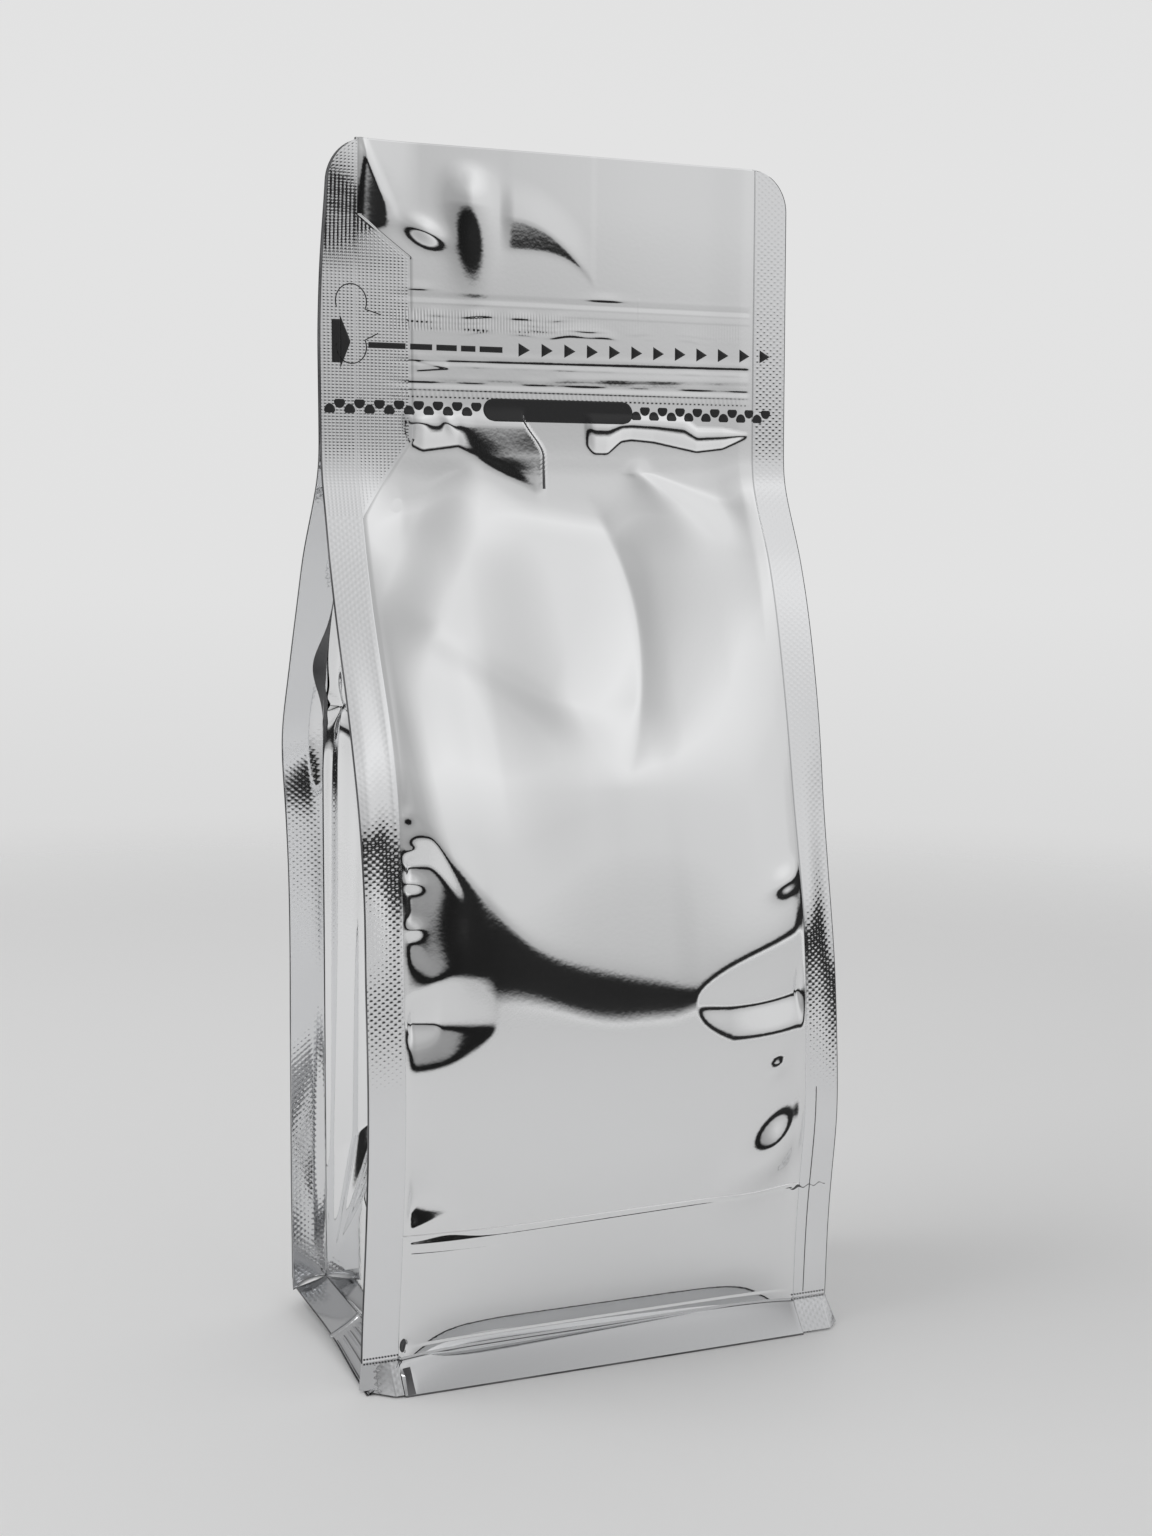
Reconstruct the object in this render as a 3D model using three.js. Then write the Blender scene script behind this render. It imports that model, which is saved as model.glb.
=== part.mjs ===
// A flat-bottom pouch of metallised film, shut, standing on its bottom flange.
// Millimetres, +Z up, front panel towards -Y. The origin is on the floor under the middle of the pouch.
import * as THREE from "three";
import { LoftGeometry } from "three/addons/geometries/LoftGeometry.js";

// Driving dimensions
const width = 135; // over both side seals
const height = 319; // from the floor to the top edge
const depth = 65; // between the front and back seals at the bottom
const sealWidth = 10; // each side seal, which stands out as a fin
const finThickness = 0.9; // front or back film welded to the gusset film
const flatThickness = 1.6; // both panels with the folded gussets between them
const topRadius = 11; // of the two top corners
const gussetHalfWidth = 36; // from a seal to the gusset's middle crease

// Heights
const seamHeight = 8.5; // where the panels meet the bottom film
const creaseHeight = 41; // a fold line across the front panel, left by packing the pouch flat
const fullDepthTo = 138; // the pouch keeps its depth up to here
const flatFrom = 236; // the two panels lie on each other above this
const gussetOpenFrom = 44; // the gusset's fold is fully formed above this
const zipperRidges = [258, 262, 282]; // profile ribs of the zipper and of its tear strip

// How far the film stands off the flat panels
const belly = 2.5; // more half depth in the middle of the filled part
const panelPuff = 6; // at the middle of the front and back panels
const lobePuff = 2.5; // the two soft ridges below the zipper
const valleyPuff = 2.2; // the hollow between those ridges
const lobeX = 25;
const valleyX = 4;
const lobeWidth = 14;
const valleyWidth = 11;
const lobeFrom = 130;
const lobeTo = 236;
const ridgeHeight = 0.7;
const ridgeHalfWidth = 1.2;
const creaseRidge = 0.4;
const topBow = 1.5; // the flat top is slightly curved in plan
const topCurl = 4; // and its left corner curls forwards
const topCurlFromX = 30;
const topCurlFromZ = 275;

// How the pouch leans and twists
const leanLow = -3.2; // the filled part leans forwards
const leanLowAt = 65;
const leanLowReach = 45;
const leanHigh = 5.5; // the shoulder leans backwards
const leanHighAt = 200;
const leanHighReach = 48;
const centreShift = 1.5; // brings the flange's outline over the origin
const twistHigh = -2.4; // the front's right seal is ahead of its left one at the shoulder
const twistHighAt = 205;
const twistHighReach = 45;
const twistLow = -1.8; // and at the bottom
const twistLowAt = 8;
const twistLowReach = 22;
const twistShared = 8; // the back follows the twist where half the depth is well under this

// Bottom flange and bottom film
const flangeHalfLength = 66.5; // in X, at the floor
const flangeHalfWidth = 39; // in Y, at the floor
const flangeChamfer = 6.5; // of its four corners
const flangeSkew = 3; // the front flange spreads further out at its right end
const flangeSpread = 4; // and its right corner further to the right
const flangeLift = 3; // the back left corner is bent up off the floor
const flangeThickness = 0.9;
const grooveHeight = 7; // the bottom film rises to the seam behind the flange
const grooveInset = 1.3; // from the seam's outline
const restHalfLength = 46; // the flat of the bottom film, which rests on the floor
const restHalfWidth = 22;
const restBow = 1.2;

// Number of columns in a section and of rows between two heights
const frontSteps = 20;
const backSteps = 12;
const ribOffsets = [-1.5, 0, 1.5]; // rows at a rib, in half widths
const endGroove = 0.3; // between the two seals where they lie on each other

const halfWidth = width / 2;
const rootX = halfWidth - sealWidth;
const { clamp, lerp, smoothstep } = THREE.MathUtils;

// A soft hump of height 1 at a place, falling off over a reach.
function hump(value, place, reach) {
  return Math.exp(-(((value - place) / reach) ** 2));
}

// Evenly spaced values from one end to the other, both ends included.
function spread(from, to, steps) {
  return Array.from({ length: steps + 1 }, (_, i) => lerp(from, to, i / steps));
}

// Half the distance between the front and back seals: full at the bottom, then a parabola down to the flat top.
function halfDepth(z) {
  const taper = clamp((z - fullDepthTo) / (flatFrom - fullDepthTo), 0, 1);
  const filled = clamp((z - seamHeight) / (fullDepthTo - seamHeight), 0, 1);
  const open = (depth / 2) * (1 - taper ** 2) + belly * Math.sin(Math.PI * filled);
  return Math.hypot(open, flatThickness / 2);
}

// The middle plane between front and back: forwards at the filled part and backwards at the shoulder.
function middleY(x, z) {
  const lean = leanLow * hump(z, leanLowAt, leanLowReach) + leanHigh * hump(z, leanHighAt, leanHighReach);
  const bow = topBow * smoothstep(z, flatFrom, height) * (1 - (x / halfWidth) ** 2);
  const curl = topCurl * smoothstep(-x, topCurlFromX, halfWidth) * smoothstep(z, topCurlFromZ, height);
  return centreShift + lean - bow - curl;
}

// The twist of the front panel about the pouch's axis. The back panel shares it only where the pouch is flat.
function twistY(x, y, z) {
  const twist =
    twistHigh * hump(z, twistHighAt, twistHighReach) + twistLow * hump(z, twistLowAt, twistLowReach);
  const half = halfDepth(z);
  const backShare = 1 - smoothstep(half, flatThickness / 2, twistShared);
  const share = lerp(1, backShare, clamp(0.5 + y / (2 * half), 0, 1));
  return (share * twist * x) / halfWidth;
}

// Half the width at a height: straight seals, with round corners at the top.
function reachX(z) {
  const rise = Math.max(0, z - (height - topRadius));
  return halfWidth - topRadius + Math.sqrt(topRadius ** 2 - rise ** 2);
}

// How far a panel stands out between its seals: a shallow cushion from the seam to the flat top.
function cushion(x, z) {
  const across = Math.max(0, 1 - (x / rootX) ** 2);
  const along = smoothstep(z, seamHeight, 60) * (1 - smoothstep(z, 180, flatFrom + 6));
  return panelPuff * across * along;
}

// Relief of the front panel: two ridges with a hollow between them, the zipper's ribs and the fold line.
function frontRelief(x, z) {
  const inside = 1 - smoothstep(Math.abs(x), rootX - lobeWidth, rootX);
  const window = smoothstep(z, lobeFrom, lobeTo - 30) * (1 - smoothstep(z, lobeTo - 12, lobeTo));
  const ridges = hump(x, -lobeX, lobeWidth) + hump(x, lobeX, lobeWidth);
  const lobes = lobePuff * ridges - valleyPuff * hump(x, valleyX, valleyWidth);
  const betweenSeals = Math.abs(x) < rootX ? 1 : 0;
  const ribs = zipperRidges.reduce((sum, at) => sum + hump(z, at, ridgeHalfWidth), 0);
  const fold = creaseRidge * hump(z, creaseHeight, ridgeHalfWidth);
  return inside * window * lobes + betweenSeals * ridgeHeight * ribs + fold;
}

// Depth of the gusset's crease behind the seals: the film keeps its width as the seals come together.
function gussetDepth(z, half) {
  const folded = Math.sqrt(Math.max(0, gussetHalfWidth ** 2 - half ** 2));
  return folded * smoothstep(z, seamHeight, gussetOpenFrom);
}

// One end of a section, from the front seal to the back seal: fin, gusset and fin, as [x, y] off the middle
// plane with x counted for the right end. Where the seals lie on each other it is a plain edge.
function endColumns(z) {
  const half = halfDepth(z);
  const fin = Math.min(finThickness, 0.8 * half);
  const crease = gussetDepth(z, half);
  const inner = half - fin;
  const opened = [
    [halfWidth, -inner],
    [rootX, -inner],
    [rootX - 0.6 * crease, -0.5 * inner],
    [rootX - crease, 0],
    [rootX - 0.6 * crease, 0.5 * inner],
    [rootX, inner],
    [halfWidth, inner],
  ];
  const openness = smoothstep(half, 2.5, 7);
  return opened.map(([x, y], i) => {
    const share = (2 * (i + 1)) / (opened.length + 1) - 1;
    const shutX = halfWidth - endGroove * (1 - share ** 2);
    return [lerp(shutX, x, openness), lerp(share * half, y, openness)];
  });
}

// The columns of a panel in X: seal edge, seal root, the panel, seal root, seal edge.
function panelColumns(steps) {
  return [-halfWidth, ...spread(-rootX, rootX, steps), halfWidth];
}

// A closed section of the pouch at a height, anticlockwise seen from above.
function bodySection(z) {
  const half = halfDepth(z);
  const narrow = reachX(z) / halfWidth;
  const place = (x, y) => new THREE.Vector3(x * narrow, middleY(x, z) + twistY(x, y, z) + y, z);
  const front = panelColumns(frontSteps).map((x) => place(x, -half - cushion(x, z) - frontRelief(x, z)));
  const right = endColumns(z).map(([x, y]) => place(x, y));
  const back = panelColumns(backSteps)
    .reverse()
    .map((x) => place(x, half + cushion(x, z)));
  const left = endColumns(z)
    .reverse()
    .map(([x, y]) => place(-x, y));
  return [...front, ...right, ...back, ...left];
}

// A closed outline of the bottom with chamfered corners, with the same columns as a body section. Its front right
// corner spreads outwards, its back left corner is lifted, and its sides are bowed a little.
function footSection({ halfLength, halfBreadth, chamfer, skew, spreadX, lift, bow, z }) {
  const frontReach = (x) => halfBreadth + skew * clamp(0.5 + x / (2 * halfLength), 0, 1);
  const sideReach = (y) => halfLength + bow * (1 - (y / halfBreadth) ** 2);
  const place = (x, y) => {
    const frontRight = Math.max(0, x / halfLength) * clamp(0.5 - y / (2 * halfBreadth), 0, 1);
    const backLeft = smoothstep(-x / halfLength, 0.2, 1) * smoothstep(y / halfBreadth, 0.2, 1);
    return new THREE.Vector3(x + spreadX * frontRight, centreShift + y, z + lift * backLeft);
  };
  const along = (steps) => spread(chamfer - halfLength, halfLength - chamfer, steps);
  const bowed = (x) => bow * (1 - (x / halfLength) ** 2);
  const front = [
    place(-halfLength, chamfer - halfBreadth),
    ...along(frontSteps).map((x) => place(x, -frontReach(x) - bowed(x))),
    place(halfLength, chamfer - frontReach(halfLength)),
  ];
  const sideY = spread(-1, 1, endColumns(z).length + 1)
    .slice(1, -1)
    .map((share) => share * (halfBreadth - chamfer));
  const right = sideY.map((y) => place(sideReach(y), y));
  const back = [
    place(halfLength, halfBreadth - chamfer),
    ...along(backSteps)
      .reverse()
      .map((x) => place(x, halfBreadth + bowed(x))),
    place(-halfLength, halfBreadth - chamfer),
  ];
  const left = [...sideY].reverse().map((y) => place(-sideReach(y), y));
  return [...front, ...right, ...back, ...left];
}

// The bottom: the flat of the bottom film, its rise to the seam behind the flange, and the flange's lower edge.
function footSections() {
  const flange = {
    halfLength: flangeHalfLength,
    halfBreadth: flangeHalfWidth,
    chamfer: flangeChamfer,
    skew: flangeSkew,
    spreadX: flangeSpread,
    lift: flangeLift,
    bow: 0,
    z: 0,
  };
  const flangeInside = {
    ...flange,
    halfLength: flangeHalfLength - flangeThickness,
    halfBreadth: flangeHalfWidth - flangeThickness,
  };
  const groove = {
    halfLength: rootX - grooveInset,
    halfBreadth: depth / 2 - grooveInset,
    chamfer: finThickness,
    skew: 0,
    spreadX: 0,
    lift: 0,
    bow: 0,
    z: grooveHeight,
  };
  const rest = {
    halfLength: restHalfLength,
    halfBreadth: restHalfWidth,
    chamfer: flangeChamfer,
    skew: 0,
    spreadX: 0,
    lift: 0,
    bow: restBow,
    z: 0,
  };
  return [rest, groove, flangeInside, flange].map(footSection);
}

// Heights of the body's sections: even rows, with close ones at the ribs, the fold line and the top corners.
function bodyHeights() {
  const ribRows = (at) => ribOffsets.map((offset) => at + offset * ridgeHalfWidth);
  const heights = [
    ...spread(seamHeight, creaseHeight - 4, 5),
    ...ribRows(creaseHeight),
    ...spread(creaseHeight + 8, fullDepthTo, 8),
    ...spread(fullDepthTo + 10, flatFrom - 12, 8),
    ...spread(flatFrom - 8, flatFrom + 12, 5),
    ...zipperRidges.flatMap(ribRows),
    ...spread(height - 30, height - topRadius, 2),
    ...[0.25, 0.5, 0.75, 1].map((turn) => height - topRadius + topRadius * Math.sin((turn * Math.PI) / 2)),
  ];
  return heights.sort((a, b) => a - b);
}

const sections = [...footSections(), ...bodyHeights().map(bodySection)];
const geometry = new LoftGeometry(sections, { capStart: true, capEnd: true });
const film = new THREE.MeshStandardMaterial({ color: 0xd4d5d8, roughness: 0.16, metalness: 1 });
const pouch = new THREE.Mesh(geometry, film);
pouch.name = "pouch";

const group = new THREE.Group();
group.add(pouch);

export default group;
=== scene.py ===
import bpy
import numpy as np
from mathutils import Matrix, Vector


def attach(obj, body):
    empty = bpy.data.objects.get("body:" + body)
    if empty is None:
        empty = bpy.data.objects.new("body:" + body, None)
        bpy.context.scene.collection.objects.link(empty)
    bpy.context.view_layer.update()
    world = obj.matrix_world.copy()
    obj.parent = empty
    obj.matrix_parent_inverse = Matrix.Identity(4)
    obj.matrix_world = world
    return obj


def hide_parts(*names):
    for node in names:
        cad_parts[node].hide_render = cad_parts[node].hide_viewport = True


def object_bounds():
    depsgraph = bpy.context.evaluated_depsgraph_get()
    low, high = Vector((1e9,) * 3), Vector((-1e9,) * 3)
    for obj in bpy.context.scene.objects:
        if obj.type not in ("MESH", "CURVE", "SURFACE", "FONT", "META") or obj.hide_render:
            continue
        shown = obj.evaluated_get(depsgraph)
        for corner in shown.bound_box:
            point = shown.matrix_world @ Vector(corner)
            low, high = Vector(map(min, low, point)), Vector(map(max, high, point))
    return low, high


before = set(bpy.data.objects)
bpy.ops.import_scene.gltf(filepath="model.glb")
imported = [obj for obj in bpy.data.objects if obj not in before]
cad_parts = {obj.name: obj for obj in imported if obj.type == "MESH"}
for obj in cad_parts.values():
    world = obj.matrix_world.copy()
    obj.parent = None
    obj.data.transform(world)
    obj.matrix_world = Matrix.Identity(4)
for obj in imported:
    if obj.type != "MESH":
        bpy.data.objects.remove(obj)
cad_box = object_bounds()

# The front panel is a sheet of metallised film, welded to the gussets along its side seals.
# The fill pushes it out to a cushion that bends into the shoulder along a sagging line, the
# seals pull short puckers into its edges, and the zipper behind it stands out as ribs.
MM = 0.001
HALF_WIDTH = -cad_box[0][0] / MM
TOP = cad_box[1][2] / MM
SEAL = 10.0
ROOT = HALF_WIDTH - SEAL
SEAM = 8.5
FLAT_FROM = 236.0
DEPTH = 65.0
CENTRE_Y = 1.5
TAPER_FROM = 127.0
FILM_TUCK = 0.25
TUCK_UNDER = 0.4
TUCK_REACH = 0.9
TOP_TURN = 0.8


def smooth(value, start, end):
    """An S-shaped step: 0 below the start, 1 above the end, cubic between."""
    share = np.clip((value - start) / (end - start), 0.0, 1.0)
    return share * share * (3 - 2 * share)


def hump(value, at, reach):
    """A bell of height 1 at a place: e to the minus square of the distance over the reach."""
    return np.exp(-(((value - at) / reach) ** 2))


def ramp(value, width):
    """A line from 0 up with a rounded corner: the logarithm of 1 plus e to the value over the width,
    times the width."""
    return width * np.logaddexp(0, value / width)


def blister(x, z, at, reach, turn=0.0):
    """An oval bell at a point, its long axis turned by some degrees."""
    cosine, sine = np.cos(np.radians(turn)), np.sin(np.radians(turn))
    along = (x - at[0]) * cosine + (z - at[1]) * sine
    across = (z - at[1]) * cosine - (x - at[0]) * sine
    return np.exp(-((along / reach[0]) ** 2) - (across / reach[1]) ** 2)


def facet(z, low, high, soft=0.6):
    """A straight rise of one in one between two heights, level below and above, with rounded corners."""
    return ramp(z - low, soft) - ramp(z - high, soft)


def slopes(z, rows):
    """Straight slopes one above the other: the sum of facets, each times its steepness."""
    return sum(steep * facet(z, low, high, soft) for steep, low, high, soft in rows)


def half_depth(z):
    """Half the depth of the filled part: full at the bottom, then a parabola down to the flat top,
    plus a belly."""
    taper = ramp(z - TAPER_FROM, 10) / (FLAT_FROM - TAPER_FROM)
    return DEPTH / 2 * (1 - taper**2) + 2.2 * hump(z, 80, 42)


def lean(z):
    """The middle plane of the filled part: forwards low down and backwards at the shoulder."""
    return CENTRE_Y - 2.6 * hump(z, 72, 45) + 5.0 * hump(z, 190, 40)


def flat_plane(x, z):
    """The flat top: it tips backwards a little, bows, and curls forwards at its left corner."""
    tip = CENTRE_Y + 0.028 * (z - FLAT_FROM)
    bow = 1.2 * smooth(z, FLAT_FROM, TOP) * (1 - (x / HALF_WIDTH) ** 2)
    curl = 3.0 * smooth(-x, 40, HALF_WIDTH) * smooth(z, 285, TOP)
    return tip - bow - curl


def front_plane(x, z):
    """The plane of the front seals: the lesser of shoulder and flat top with a rounded corner,
    twisted a little."""
    soft = 1.4
    shoulder = lean(z) - half_depth(z)
    top = flat_plane(x, z)
    low = -soft * np.logaddexp(-shoulder / soft, -top / soft)
    turn = -2.4 * hump(z, 200, 36) * (1 - smooth(z, 212, 240)) - 1.8 * hump(z, 8, 22)
    return low + turn * x / HALF_WIDTH


def bend_low(x):
    """The lower of two lines where the cushion bends: level, a step higher at the left and a little
    higher at the right."""
    return 93.5 + 11 * smooth(-x, -2, 34) + 3 * smooth(x, 14, 24)


def bend_high(x):
    """The upper bend line: it meets the lower one at the right and rises to the left, faster
    beside the seal."""
    return 98 + 0.314 * ramp(31 - x, 3) + 0.9 * ramp(-25 - x, 4)


def cushion(x, z):
    """How far the fill pushes the film out: a straight rise from the seam, bent over along two
    lines into a fall, a fuller chest above them, and tucked in along the seam."""
    across = np.maximum(0, 1 - np.abs(x / ROOT) ** 5)
    rise = 0.06 * (z - SEAM) + 1.0
    hem = 0.57 * facet(z, SEAM + 2.0, SEAM + 2.7, 0.05) * (1 - smooth(z, SEAM + 3, SEAM + 20))
    tucked = (0.35 * ramp(SEAM + 10 - z, 2) + hem) * np.maximum(0, 1 - (x / 57) ** 6)
    left = smooth(-x, 5, 38)
    fall = 0.018 * ramp(z - 80, 8) + (0.065 - 0.02 * left) * ramp(z - bend_low(x), 1.8)
    held = 0.055 * smooth(-x, 36, 46) * (1 - smooth(z, 146, 200))
    fall = fall + (0.05 + 0.05 * left + 2 * held) * ramp(z - bend_high(x), 1.8 - 0.9 * left)
    fall = fall - held * ramp(z - 116, 3)
    chest = 1.6 * hump(z, 163, 22) * hump(x, 6, 34)
    return across * (rise - fall + chest) * (1 - smooth(z, 200, 240)) - tucked


def shoulder_fill(x, z):
    """The fuller left shoulder and the right hip, which the seals follow too."""
    left = 3.1 * hump(z, 170, 27) * smooth(-x, 28, 57)
    seal = 1.6 * hump(z, 134, 24) * smooth(-x, 40, 60)
    right = 1.7 * hump(z, 107, 22) * smooth(x, 16, 57)
    return left + seal + right


# Slopes of the front seals: how steep, from what height, to what height, and how round the ends.
FIN_RIGHT = ((0.045, 14, 58, 4), (-0.074, 62, 100, 3), (0.024, 107, 119, 2))
FIN_RIGHT_HIGH = ((0.0335, 152, 225, 5), (-0.075, 121, 146, 3))
FIN_RIGHT_OUTER = ((0.0537, 122, 170, 4), (-0.036, 66, 100, 4), (-0.085, 102, 118, 3))
FIN_LEFT = ((0.075, 139, 156, 2.5), (-0.006, 107, 127, 3), (-0.032, 165, 201, 4))
FIN_LEFT_OUTER = ((0.05, 112, 146, 3), (-0.0425, 150, 190, 4))


def fin_bends(x, z):
    """Slight bends of the two front seals: straight slopes one above the other, with others that
    show towards the outer edges."""
    right = slopes(z, FIN_RIGHT) * smooth(x, 53, 58.5) + slopes(z, FIN_RIGHT_HIGH) * smooth(x, 40, 60)
    right = right + slopes(z, FIN_RIGHT_OUTER) * smooth(x, 59, 67)
    left = slopes(z, FIN_LEFT) * smooth(-x, 55, 59) + slopes(z, FIN_LEFT_OUTER) * smooth(-x, 59.5, 66)
    return right + left


def tension_ridges(x, z):
    """Two cones that open downwards from points under the zipper, with the film pressed in between
    them, a sharp curved valley, and a fold that slants down from the left seal."""
    below = np.clip(FLAT_FROM - z, 0, None)
    reach = 3 + 0.8 * below
    left = hump(x, -26.5 - 0.25 * below, reach)
    right = hump(x, 22 + 20 * (1 - np.exp(-below / 11)), reach)
    pressed = 1.5 * hump(z, 222.5, 9) * (1 - np.minimum(1, left + right)) * smooth(ROOT - np.abs(x), 0, 12)
    crest = 1.2 * right * smooth(z, 150, 205) * (1 - smooth(z, 226, 240))
    up = z - 198
    bent = np.where(up > 0, 7.5, 5.0) * (up / 28) ** 2
    off = x - 16.5 + bent
    off = np.where(off < 0, -off, 1.4 * off)
    valley = 3.0 * np.exp(-np.hypot(off, 1.2) / 12) * smooth(z, 154, 176) * (1 - smooth(z, 208, 232))
    sine, cosine = 0.514, 0.857
    over = sine * (x + 22) + cosine * (z - 180) - 6
    along = cosine * (x + 22) - sine * (z - 180)
    ends = smooth(along, -40, -24) * (1 - smooth(along, 8, 44))
    fold = 2.4 * ends * np.exp(-((over / np.where(over < 0, 10, 28)) ** 2))
    return crest + fold - pressed - valley


def tuck(z, low, high, soft):
    """A roll between two heights: the share times 1 less its cube, where the share runs from 0 at the
    lower edge to 1 at the upper."""
    tall = np.maximum(high - low, 0.5)
    share = ramp(np.minimum(z, high) - low, soft) / tall
    return tall * share * np.maximum(0, 1 - share**3)


ROLL_TOP = 251.5
# The wavy lower edges of the two rolls: places across, and the height at each.
LEFT_ROLL_X = (-45, -43, -40, -30, -24.5, -8, -6.5)
LEFT_ROLL_LOW = (246, 242.5, 241, 242.5, 239, 230, 231)
RIGHT_ROLL_X = (7, 9, 13, 17, 20, 27, 40, 48, 56)
RIGHT_ROLL_LOW = (243, 241, 241, 244.5, 245, 244.5, 242, 243, 246.5)


def left_roll_end(z):
    """Where the left roll ends at its right: upright low down, slanting to the left above."""
    return -5.85 - 6 * smooth(z, 240, 251)


def tucks(x, z):
    """Two rolls of film just under the zipper, each with a wavy lower edge; the left one falls to a
    point, with two small loops above it."""
    low_left = np.interp(x, LEFT_ROLL_X, LEFT_ROLL_LOW)
    low_right = np.interp(x, RIGHT_ROLL_X, RIGHT_ROLL_LOW)
    high_right = np.interp(x, [36, 40, 48, 56], [ROLL_TOP, 248.5, 248.5, 247.2])
    ends_left = smooth(x, -46, -43.5) * (1 - smooth(x - left_roll_end(z), -0.35, 0.35))
    ends_right = smooth(x, 6.2, 8) * (1 - smooth(x, 55, 56))
    rolled = 0.15 * tuck(z, low_left, ROLL_TOP, 0.35)
    slanted = 0.05 * facet(z, low_left, low_left + 2.4, 0.4) + 0.025 * facet(z, low_left, low_left + 5.5, 1)
    slanted = slanted + 0.022 * facet(z, low_left, 244, 1.5) + 0.028 * facet(z, low_left, 249, 1)
    grown = smooth(x, -31, -25)
    left = rolled * (1 - grown) + slanted * (1 - smooth(z, 247.5, 253)) * grown
    loops = 0.3 * blister(x, z, (-41, 248.6), (2.4, 1.9)) + 0.3 * blister(x, z, (-33, 248.6), (2.8, 1.3), -60)
    right = 0.16 * tuck(z, low_right, high_right, 0.25)
    return left * ends_left + right * ends_right + loops


PUCKER_AT = 97.0


def puckers(x, z):
    """Creased shelves that the side seals pull into the film: straight slopes between lines that
    meet at a point. What the left ones take in is given back just above them."""
    bottom = PUCKER_AT - 11 * np.maximum(0, 1 - ((x + 57) / 22.5) ** 2) ** 0.75
    mouth = PUCKER_AT - 4.6 * np.sqrt(np.maximum(0, 1 - ((x + 57) / 8) ** 2))
    slope = 0.13 - 0.04 * smooth(x, -48, -41)
    steep = 0.28
    taken = slope * facet(z, bottom, PUCKER_AT) + steep * facet(z, mouth, PUCKER_AT)
    lens_low = PUCKER_AT + 2
    lens_top = 109.5 - 5 * smooth(-x, 45, 58)
    lens = (slope * (PUCKER_AT - bottom) + steep * (PUCKER_AT - mouth)) / (lens_top - lens_low)
    left_side = lens * facet(z, lens_low, lens_top) - taken
    shelf_low = lens_top + 1
    shelf_top = 137 - 11 * smooth(x, -51, -39)
    shelf = 0.08 * smooth(x + 5 * smooth(z, 107, 120), -57, -48) * (1 - smooth(x, -51, -41.5))
    left_side = left_side - shelf * facet(z, shelf_low, shelf_top, 0.9)
    repaid = 0.4
    repaid_low = shelf_top + 1.5
    owed = shelf * (shelf_top - shelf_low)
    left_side = left_side + repaid * facet(z, repaid_low, repaid_low + owed / repaid)
    share = np.clip((x - 22) / 35, 0, 1)
    top = PUCKER_AT + 17 * np.sqrt(share)
    middle = PUCKER_AT - 1.5 * np.sin(np.pi * share)
    low = PUCKER_AT - 11 * np.sqrt(np.minimum(1, share / 0.3)) + 1.5 * share
    upper = 0.18
    lower = upper * (top - middle) / np.maximum(middle - low, 0.5)
    lobes = lower * facet(z, low, middle, 0.8) - upper * facet(z, middle, top, 0.8)
    return left_side - lobes


FOOT_DENT_X = -56.2
# Swellings beside the seals: height, place, reach along and across, and turn in degrees.
SWELLINGS = (
    (0.75, (51.5, 127.5), (5.0, 3.2), 25),
    (0.9, (47, 77), (3.4, 2.4), 30),
    (3.8, (46.5, 53.5), (12.5, 7), 45),
    (0.4, (-56, 150.5), (1.6, 1.8), 0),
    (0.8, (-55.2, 141), (2.2, 1.7), 20),
    (0.8, (-55.2, 133.5), (2.4, 1.6), -15),
    (0.8, (-55.4, 122), (2.0, 1.8), 0),
    (-1.3, (FOOT_DENT_X, 11), (1.3, 1.8), 0),
)


def blisters(x, z):
    """Small oval swellings beside the seals, and a dent at the left seal's foot: the sum of bells."""
    return sum(tall * blister(x, z, at, reach, turn) for tall, at, reach, turn in SWELLINGS)


OLD_FOLD = 40.4
SECOND_FOLD = 37.2
FOLD_SOFT = 0.04


def creases(x, z):
    """Steps across the film low down, each a straight slope whose height is given back above: a
    short broad one at the left seal, a thin one along the old fold, which is taller near the left
    seal, and a thinner one below its left part."""
    foot = 42.9 + 0.36 * (x + 57)
    broad = 8.5 * hump(x, -51.8, 5.2)
    fold = OLD_FOLD + 0.01 * x
    tall = 0.5 + 1.3 * hump(x, -46, 7)
    second = 0.42 * (1 - smooth(x, -36, -28))
    step = facet(z, foot, foot + broad, 0.3) - broad * smooth(z, 48, 72)
    step = step + facet(z, fold, fold + tall, FOLD_SOFT)
    step = step + facet(z, SECOND_FOLD, SECOND_FOLD + second, FOLD_SOFT)
    step = step - (tall + second) * smooth(z, 43, 60)
    return (0.0006 * np.maximum(x, 0) - 0.327) * step


def pocket(x, z):
    """Swellings of the film between the zipper and the top edge: its left corner, which tips
    forwards, two ovals, and a three-cornered slope with a rim, which curves down to a point at its
    right."""
    inward = -(x + 46.5) - 0.5 * (z - 300)
    tipped = 0.06 * facet(z, 297, TOP) + 0.0028 * ramp(z - 304, 2) ** 2
    corner = tipped * smooth(inward, -1.5, 2 + 4 * (1 - smooth(z, 297, 306)))
    low = 293.5 - 3 * (np.maximum(0, x + 15) / 18) ** 3.6
    high = np.maximum(low, 301.5 - 0.026 * np.maximum(0, x + 16) ** 2)
    rim = facet(z, low, low + 1, 0.3) + facet(z, high - 1, high, 0.3)
    slope = 0.068
    given = slope * (high - low) * smooth(z, high, high + 11)
    three = slope * facet(z, low, high, 0.5) + 0.016 * rim - given
    three = three * smooth(x, -19, -14.5) * (1 - smooth(x, 7.5, 9.5))
    return (
        corner
        + three
        + 0.8 * blister(x, z, (-39.4, 297.2), (4.8, 2.6), -25)
        + 2.0 * blister(x, z, (-27.2, 309), (5.2, 17), 4) * (1 - smooth(z, 304, 317))
    )


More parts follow.
